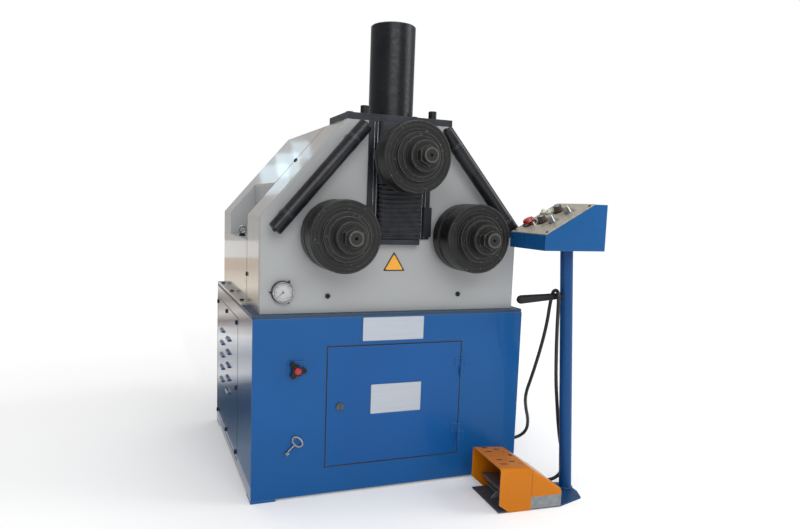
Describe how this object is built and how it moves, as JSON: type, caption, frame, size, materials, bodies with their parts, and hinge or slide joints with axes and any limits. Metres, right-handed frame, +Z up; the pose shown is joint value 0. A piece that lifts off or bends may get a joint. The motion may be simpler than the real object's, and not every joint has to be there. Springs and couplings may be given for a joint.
{
  "type": "ring roller",
  "caption": "Hydraulic section bending machine with stacked rolls on a sheet cabinet, a press cylinder on top, a separate control desk on a post and a guarded foot pedal.",
  "frame": {"origin": "centre of the four anchor holes in the cabinet feet, on the floor", "axes": "+Z up, the rolls and the door face -Y, +X towards the control stand"},
  "size_m": [1.09, 1.1841, 1.55],
  "materials": {
    "cabinet_blue": "glossy enamel",
    "door_blue": "glossy enamel",
    "cover_blue": "glossy enamel",
    "deck_blue": "satin enamel",
    "stand_blue": "glossy enamel",
    "inner_zinc": "galvanised sheet",
    "housing_grey": "glossy enamel",
    "black_paint": "satin",
    "cylinder_black": "satin",
    "bar_black": "semi-gloss",
    "rail_black": "satin, ways ground bright",
    "roll_black": "blackened, turned",
    "nut_black": "blackened",
    "shaft_steel": "turned",
    "bearing_steel": "machined",
    "gear_steel": "hobbed",
    "chrome_rod": "hard chrome",
    "black_screw": "blackened",
    "bellows_rubber": "matt",
    "gauge_steel": "polished bezel",
    "needle_black": "matt",
    "motor_grey": "hammered enamel",
    "tank_grey": "enamel",
    "black_plastic": "moulded",
    "panel_silver": "satin",
    "lamp_white": "moulded lens",
    "stop_red": "moulded",
    "pedal_grey": "cast, painted",
    "guard_orange": "glossy enamel",
    "cable_rubber": "matt",
    "lock_black": "moulded",
    "switch_black": "moulded",
    "key_nickel": "nickel plated",
    "treadle_grey": "ribbed plate",
    "dial_black": "moulded",
    "selector_grey": "moulded"
  },
  "bodies": {
    "base": {"cabinet_shell": "cabinet_blue", "cabinet_front": "cabinet_blue", "cabinet_deck": "deck_blue", "cabinet_floor": "inner_zinc", "anchor_feet": "cabinet_blue", "vent_covers": "cover_blue", "shoulder_pockets": "housing_grey", "front_plate": "housing_grey", "housing_shell": "housing_grey", "roll_bearings": "bearing_steel", "rear_casing": "housing_grey", "rear_hatch": "housing_grey", "top_plate": "black_paint", "top_plate_bolts": "black_screw", "press_cylinder": "cylinder_black", "guide_rails": "rail_black", "bellows": "bellows_rubber", "bellows_base": "black_paint", "guide_bars": "bar_black", "gauge_case": "gauge_steel", "gear_motor": "motor_grey", "oil_unit": "tank_grey", "stand_base": "stand_blue", "stand_post": "stand_blue", "cable_hook": "black_plastic", "desk_box": "stand_blue", "desk_panel": "panel_silver", "lamps": "lamp_white", "pedal_base": "pedal_grey", "pedal_guard": "guard_orange", "pedal_cable": "cable_rubber", "cable_glands": "black_plastic", "switch_base": "switch_black"},
    "needle": {"gauge_needle": "needle_black"},
    "left_spindle": {"left_shaft": "shaft_steel", "left_discs": "roll_black", "left_nut": "nut_black", "left_gear": "gear_steel"},
    "right_spindle": {"right_shaft": "shaft_steel", "right_discs": "roll_black", "right_nut": "nut_black", "right_gear": "gear_steel"},
    "drive": {"drive_gear": "gear_steel"},
    "ram": {"ram_block": "black_paint", "piston_rod": "chrome_rod"},
    "top_spindle": {"top_shaft": "shaft_steel", "top_discs": "roll_black", "top_nut": "nut_black"},
    "door": {"door_panel": "door_blue"},
    "lock": {"door_lock": "lock_black"},
    "switch": {"switch_knob": "switch_black"},
    "cabinet_key": {"key": "key_nickel"},
    "near_pedal": {"near_treadle": "treadle_grey"},
    "far_pedal": {"far_treadle": "treadle_grey"},
    "stop": {"stop_button": "stop_red"},
    "speed_dial": {"front_dial": "dial_black"},
    "position_dial": {"rear_dial": "dial_black"},
    "mode_selector": {"front_selector": "selector_grey"},
    "power_selector": {"rear_selector": "selector_grey"}
  },
  "joints": [
    {"name": "left_spin", "type": "hinge", "parent": "base", "child": "left_spindle", "pos_m": [-0.225, -0.3, 0.8595], "axis": [0, 1, 0], "continuous": true},
    {"name": "right_spin", "type": "hinge", "parent": "base", "child": "right_spindle", "pos_m": [0.225, -0.3, 0.8595], "axis": [0, 1, 0], "continuous": true},
    {"name": "drive_spin", "type": "hinge", "parent": "base", "child": "drive", "pos_m": [0, -0.1, 0.8595], "axis": [0, 1, 0], "continuous": true},
    {"name": "ram_slide", "type": "slide", "parent": "base", "child": "ram", "axis": [0, 0, -1], "range_m": [0, 0.14], "deforming": ["bellows"]},
    {"name": "top_spin", "type": "hinge", "parent": "ram", "child": "top_spindle", "pos_m": [0, -0.3, 1.1086], "axis": [0, 1, 0], "continuous": true},
    {"name": "door_hinge", "type": "hinge", "parent": "base", "child": "door", "pos_m": [0.244, -0.446, 0.3], "axis": [0, 0, 1], "range_deg": [0, 90]},
    {"name": "lock_turn", "type": "hinge", "parent": "door", "child": "lock", "pos_m": [-0.193, -0.44, 0.2985], "axis": [0, -1, 0], "range_deg": [0, 90]},
    {"name": "switch_turn", "type": "hinge", "parent": "base", "child": "switch", "pos_m": [-0.341, -0.45, 0.431], "axis": [0, 1, 0], "range_deg": [0, 90]},
    {"name": "key_swing", "type": "hinge", "parent": "base", "child": "cabinet_key", "pos_m": [-0.34286, -0.445, 0.20422], "axis": [0, 1, 0], "range_deg": [-25, 25]},
    {"name": "needle_turn", "type": "hinge", "parent": "base", "child": "needle", "pos_m": [-0.383, -0.4255, 0.6755], "axis": [0, 1, 0], "range_deg": [0, 270]},
    {"name": "stop_press", "type": "slide", "parent": "base", "child": "stop", "axis": [0.4893, 0, -0.8721], "range_m": [0, 0.005], "stiffness_N_per_m": 800, "springref_m": -0.002},
    {"name": "speed_turn", "type": "hinge", "parent": "base", "child": "speed_dial", "pos_m": [0.43756, -0.6, 0.92278], "axis": [-0.4893, 0, 0.8721], "range_deg": [-135, 135]},
    {"name": "position_turn", "type": "hinge", "parent": "base", "child": "position_dial", "pos_m": [0.50035, -0.596, 0.95802], "axis": [-0.4893, 0, 0.8721], "range_deg": [-135, 135]},
    {"name": "mode_turn", "type": "hinge", "parent": "base", "child": "mode_selector", "pos_m": [0.44104, -0.657, 0.92474], "axis": [-0.4893, 0, 0.8721], "range_deg": [-45, 45]},
    {"name": "power_turn", "type": "hinge", "parent": "base", "child": "power_selector", "pos_m": [0.49773, -0.66, 0.95655], "axis": [-0.4893, 0, 0.8721], "range_deg": [-45, 45]},
    {"name": "near_press", "type": "hinge", "parent": "base", "child": "near_pedal", "pos_m": [0.46186, -0.68657, 0.03], "axis": [-0.061, -0.9981, 0], "range_deg": [0, 8], "stiffness_Nm_per_rad": 20, "springref_deg": -5.73},
    {"name": "far_press", "type": "hinge", "parent": "base", "child": "far_pedal", "pos_m": [0.46782, -0.58909, 0.03], "axis": [-0.061, -0.9981, 0], "range_deg": [0, 8], "stiffness_Nm_per_rad": 20, "springref_deg": -5.73}
  ],
  "couplings": [
    {"joint": "right_spin", "follows": "left_spin", "ratio": 1},
    {"joint": "drive_spin", "follows": "left_spin", "ratio": -0.95652}
  ]
}
